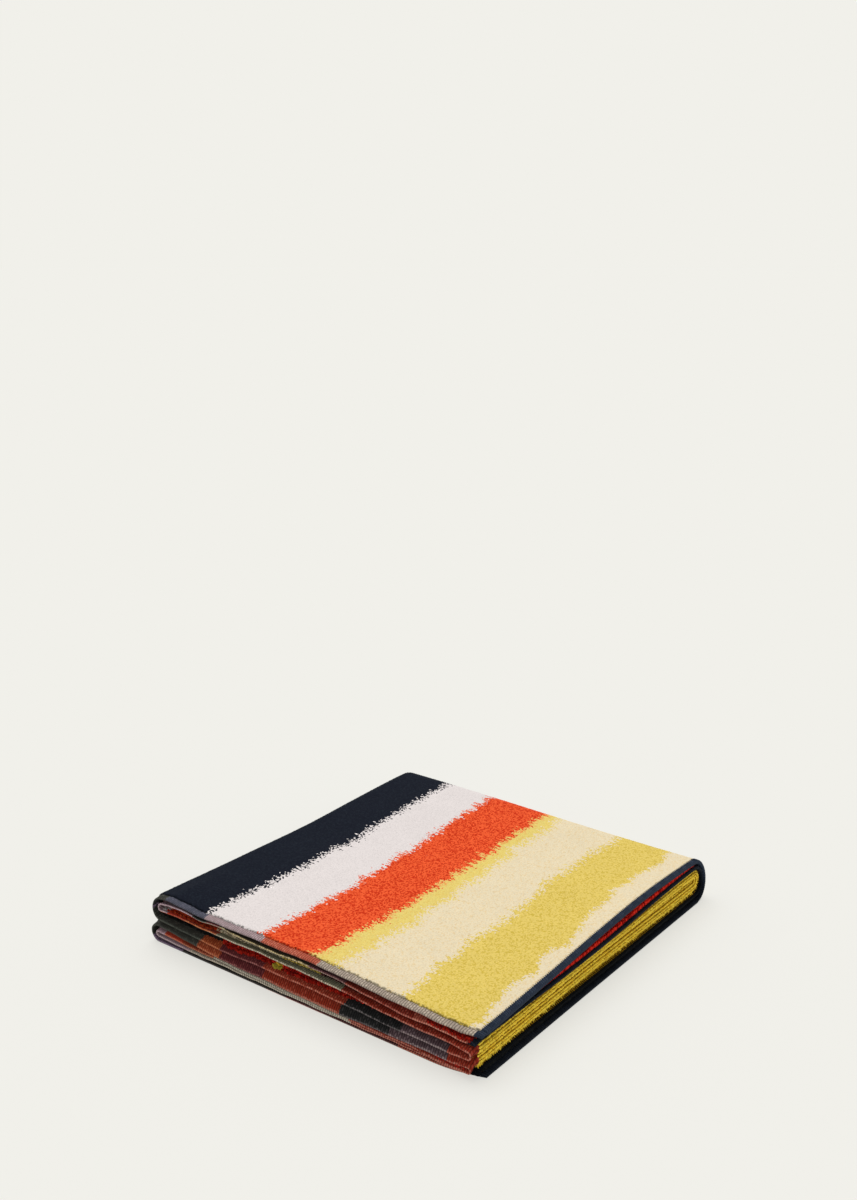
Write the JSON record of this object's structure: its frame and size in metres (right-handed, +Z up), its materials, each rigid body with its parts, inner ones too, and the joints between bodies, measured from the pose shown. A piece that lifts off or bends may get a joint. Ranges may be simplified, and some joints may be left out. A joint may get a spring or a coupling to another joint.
{
  "type": "folded bath sheet",
  "caption": "Large terry bath sheet with frayed-edge stripes, folded crosswise and then lengthwise into a flat stack of layers that rests on a shelf or table.",
  "frame": {"origin": "middle of the bounding box's base, on the flat underside of the lowest layer", "axes": "+X across the stripes, from the crosswise folds to the hems; +Y along the stripes, from the open selvages to the lengthwise fold; +Z up through the layers"},
  "size_m": [0.377, 0.402, 0.049],
  "materials": {
    "terry": "matt cotton loop pile in navy, off-white, orange-red, yellow and cream stripes, with flat woven selvages and hems"
  },
  "bodies": {
    "root": {"bath_sheet": "terry"}
  },
  "joints": []
}
